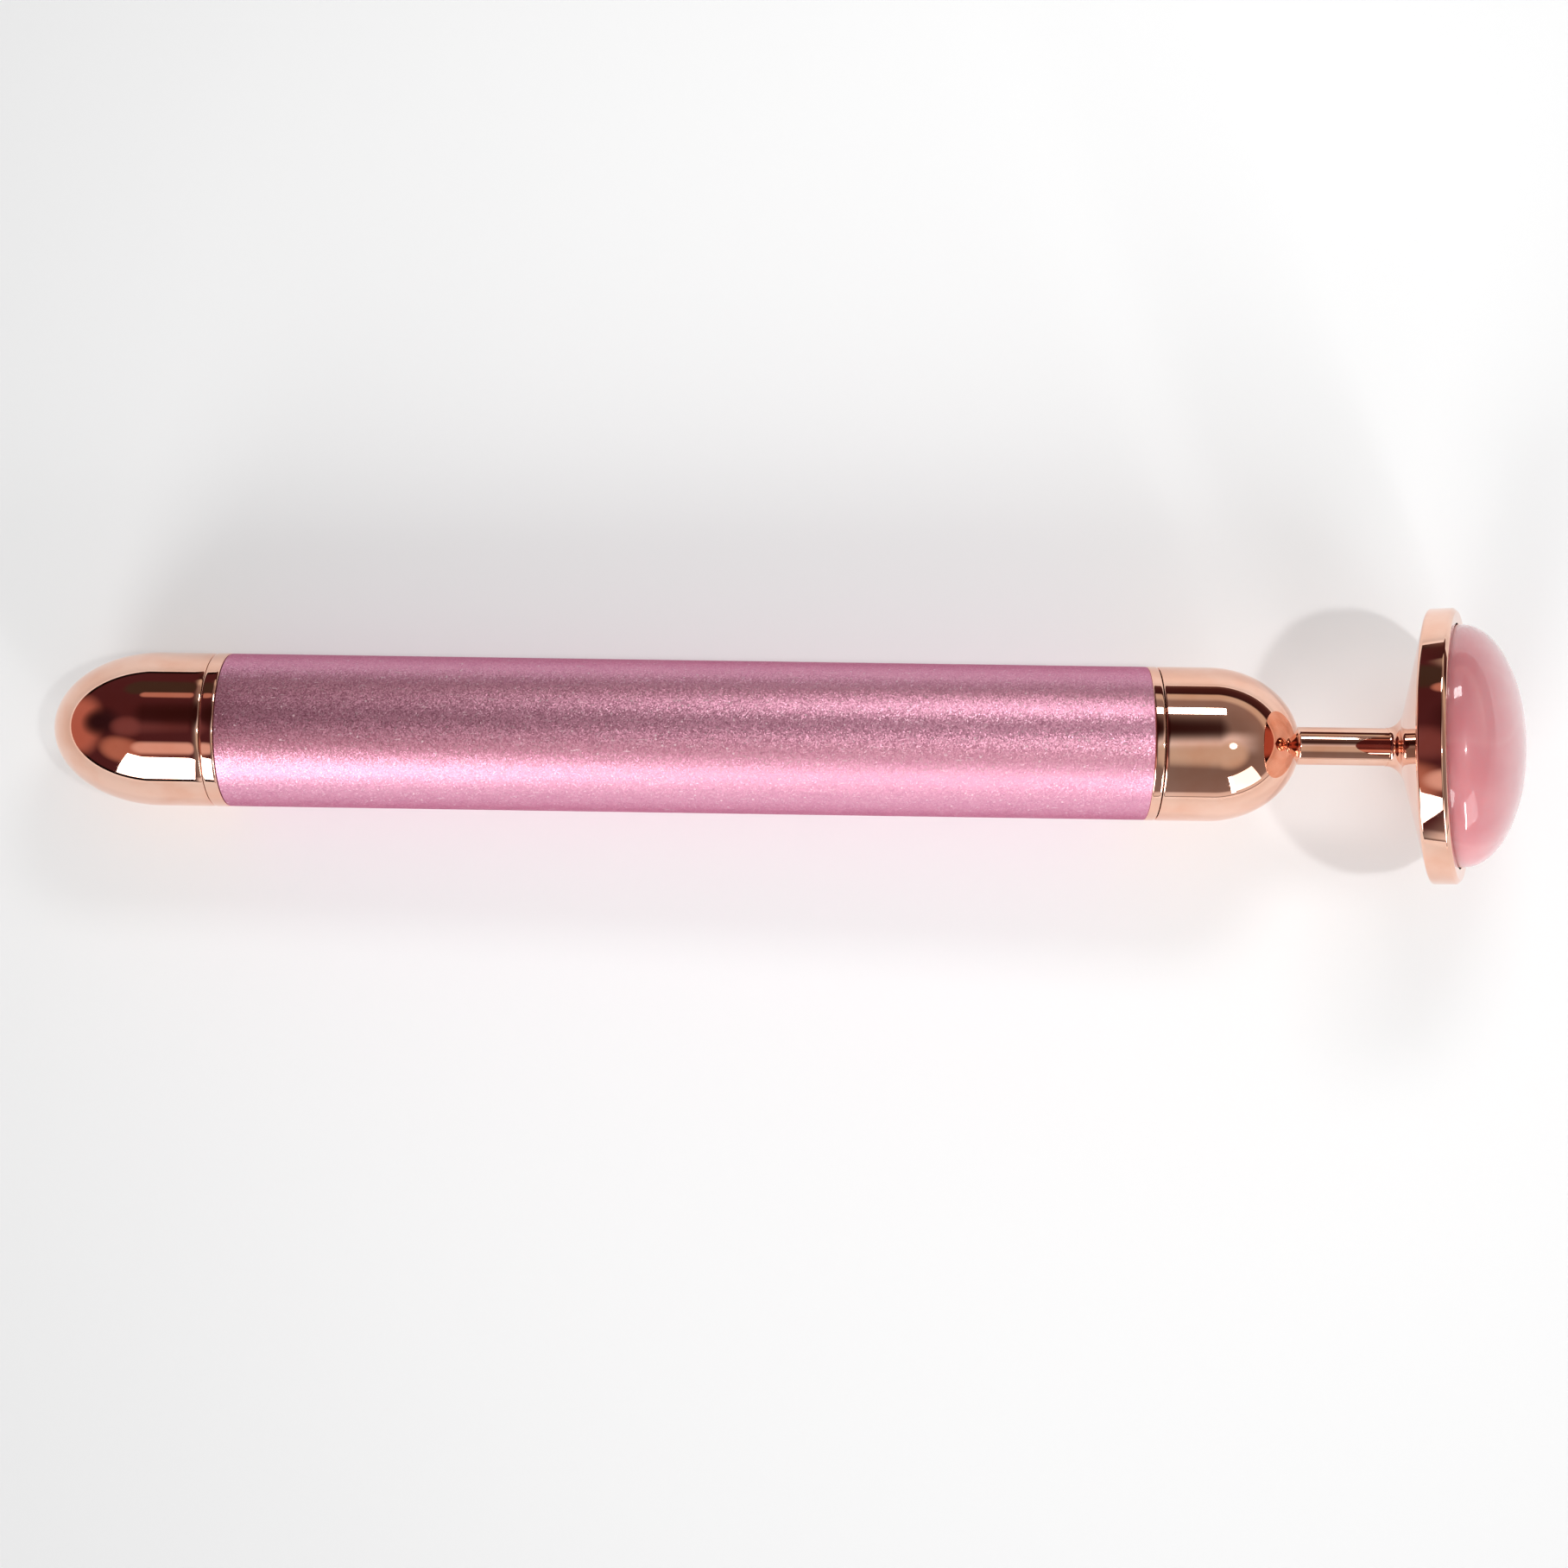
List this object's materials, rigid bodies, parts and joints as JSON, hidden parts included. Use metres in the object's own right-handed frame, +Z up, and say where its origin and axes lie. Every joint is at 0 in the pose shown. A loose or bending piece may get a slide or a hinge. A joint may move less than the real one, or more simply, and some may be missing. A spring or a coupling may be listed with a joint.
{
  "type": "facial massager wand",
  "caption": "Battery-powered vibrating facial massager wand: pink metal tube, rose gold screw caps and a tilted head with a polished pink stone.",
  "frame": {"origin": "on the surface that the wand lies on, under the middle of its length and width", "axes": "+X from the tail towards the head, +Y across, +Z up, away from the surface; the wand's own axis is pitched up 1.7 degrees towards the head, because it lies on its tail dome and on the head's rim"},
  "size_m": [0.1636, 0.0304, 0.0291],
  "materials": {
    "anodised_tube": "bead-blasted, pink anodised, satin",
    "rose_gold_plate": "polished rose gold plate, mirror",
    "moulded_holder": "moulded, fine spark texture",
    "steel_can": "nickel plated, satin",
    "ferrite_magnet": "sintered, matt",
    "moulded_end_bell": "moulded, matt",
    "tinned_brass": "tinned, satin",
    "sintered_bronze": "satin",
    "ground_steel": "ground, bright",
    "lamination_steel": "stacked sheets, dull",
    "brass_weight": "sawn and tumbled, satin",
    "red_insulation": "soft extruded insulation",
    "black_insulation": "soft extruded insulation",
    "battery_wrap": "shrunk film, plain",
    "battery_filling": "pressed powder, matt",
    "spring_steel": "nickel plated wire",
    "seal_rubber": "moulded, matt",
    "clear_adhesive": "cured, clear to milky",
    "rose_quartz": "polished cabochon, milky pink, slightly see-through"
  },
  "bodies": {
    "handle": {"handle_tube": "anodised_tube", "front_collar": "rose_gold_plate", "motor_holder": "moulded_holder", "motor_can": "steel_can", "motor_magnets": "ferrite_magnet", "motor_end_bell": "moulded_end_bell", "motor_terminals": "tinned_brass", "motor_bush": "sintered_bronze", "positive_contact": "tinned_brass", "ground_strip": "sintered_bronze", "red_lead": "red_insulation", "black_lead": "black_insulation"},
    "rotor": {"motor_shaft": "ground_steel", "motor_armature": "lamination_steel", "eccentric_weight": "brass_weight"},
    "battery": {"battery_can": "steel_can", "battery_core": "battery_filling", "battery_jacket": "battery_wrap", "battery_end_plate": "steel_can"},
    "tail_carrier": {"spring_plate": "spring_steel"},
    "tail_spring_set": {"battery_spring": "spring_steel", "tail_seal": "seal_rubber"},
    "tail_cap": {"tail_plug": "rose_gold_plate", "tail_dome": "rose_gold_plate"},
    "head_carrier": {"head_seal": "seal_rubber"},
    "head": {"head_dome": "rose_gold_plate", "neck_rod": "rose_gold_plate", "head_pan": "rose_gold_plate", "adhesive_bed": "clear_adhesive", "massage_stone": "rose_quartz"}
  },
  "joints": [
    {"name": "rotor_spin", "type": "hinge", "parent": "handle", "child": "rotor", "pos_m": [0.02381, 0, 0.01133], "axis": [0.9996, 0, 0.0296], "continuous": true},
    {"name": "battery_slide", "type": "slide", "parent": "handle", "child": "battery", "axis": [-0.9996, 0, -0.0296], "range_m": [0, 0.064]},
    {"name": "tail_pull_off", "type": "slide", "parent": "handle", "child": "tail_carrier", "axis": [-0.9996, 0, -0.0296], "range_m": [0, 0.128]},
    {"name": "tail_thread_advance", "type": "slide", "parent": "tail_carrier", "child": "tail_spring_set", "axis": [-0.9996, 0, -0.0296], "range_m": [0, 0.0076]},
    {"name": "tail_twist", "type": "hinge", "parent": "tail_spring_set", "child": "tail_cap", "pos_m": [-0.06225, 0, 0.00878], "axis": [-0.9996, 0, -0.0296], "range_deg": [0, 2700]},
    {"name": "head_thread_advance", "type": "slide", "parent": "handle", "child": "head_carrier", "axis": [0.9996, 0, 0.0296], "range_m": [0, 0.0061]},
    {"name": "head_twist", "type": "hinge", "parent": "head_carrier", "child": "head", "pos_m": [0.04046, 0, 0.01183], "axis": [0.9996, 0, 0.0296], "range_deg": [0, 2160]}
  ],
  "couplings": [
    {"joint": "battery_slide", "follows": "tail_pull_off", "ratio": 0.5},
    {"joint": "tail_thread_advance", "follows": "tail_twist", "m_per_rad": 0.00015915},
    {"joint": "head_thread_advance", "follows": "head_twist", "m_per_rad": 0.00015915}
  ]
}
